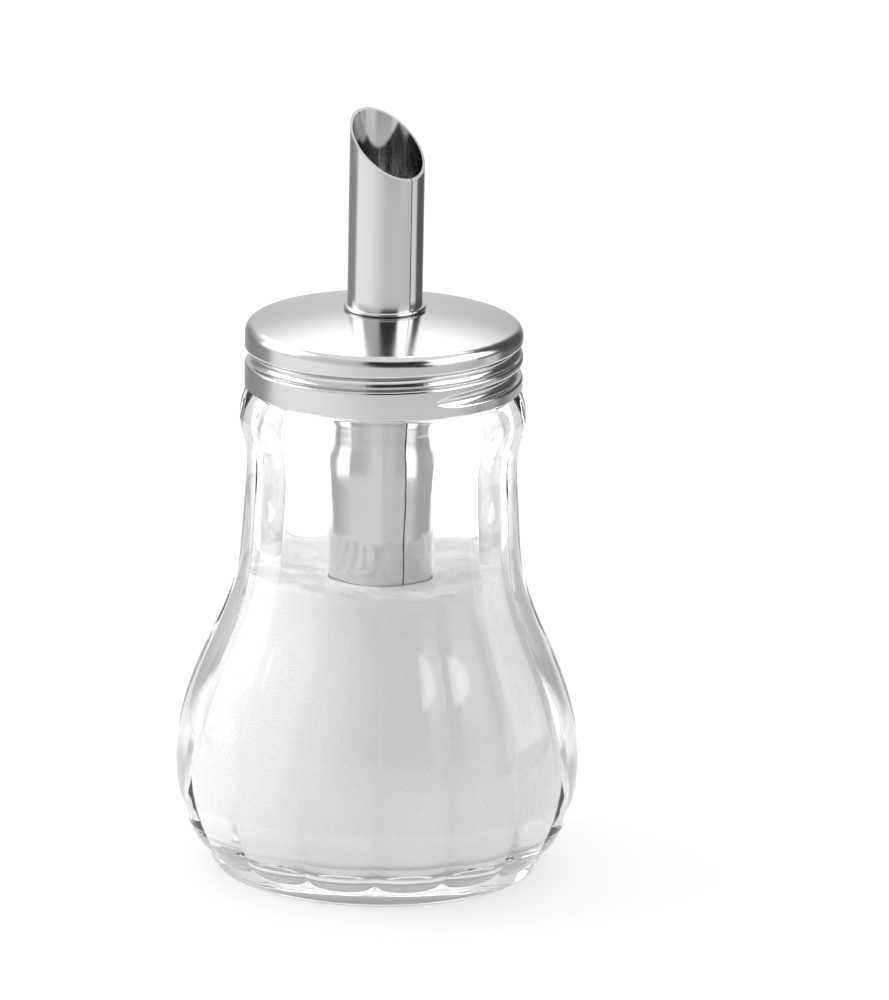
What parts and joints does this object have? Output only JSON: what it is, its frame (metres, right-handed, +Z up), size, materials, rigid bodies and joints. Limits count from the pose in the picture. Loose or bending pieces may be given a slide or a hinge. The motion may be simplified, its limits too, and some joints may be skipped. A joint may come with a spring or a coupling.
{
  "type": "sugar dispenser",
  "caption": "Fluted pear-shaped glass sugar dispenser with a domed screw cap, a slanted steel pouring tube and a hinged gravity flap inside the spout.",
  "frame": {"origin": "centre of the jar's base, on the surface that it stands on", "axes": "+Z up along the jar, cap and tube; +X towards the pouring lip"},
  "size_m": [0.0814, 0.0814, 0.154],
  "materials": {
    "glass": "gloss",
    "sugar": "matte",
    "seal": "matte",
    "polished_steel": "polished",
    "spring_steel": "satin"
  },
  "bodies": {
    "jar": {"glass_jar": "glass", "sugar_fill": "sugar"},
    "seal": {"cap_seal": "seal"},
    "cap": {"screw_cap": "polished_steel", "dosing_tube": "polished_steel", "tube_retainer": "spring_steel", "flap_seat": "spring_steel", "hinge_pin": "spring_steel"},
    "flap": {"flap": "spring_steel"}
  },
  "joints": [
    {"name": "seal_lift", "type": "slide", "parent": "jar", "child": "seal", "axis": [0, 0, 1], "range_m": [0, 0.00424]},
    {"name": "cap_turn", "type": "hinge", "parent": "seal", "child": "cap", "pos_m": [0, 0, 0], "axis": [0, 0, 1], "range_deg": [0, 360]},
    {"name": "flap_swing", "type": "hinge", "parent": "cap", "child": "flap", "pos_m": [-0.0056, 0, 0.13415], "axis": [0, -1, 0], "range_deg": [0, 65]}
  ],
  "couplings": [
    {"joint": "seal_lift", "follows": "cap_turn", "m_per_rad": 0.00067376}
  ]
}
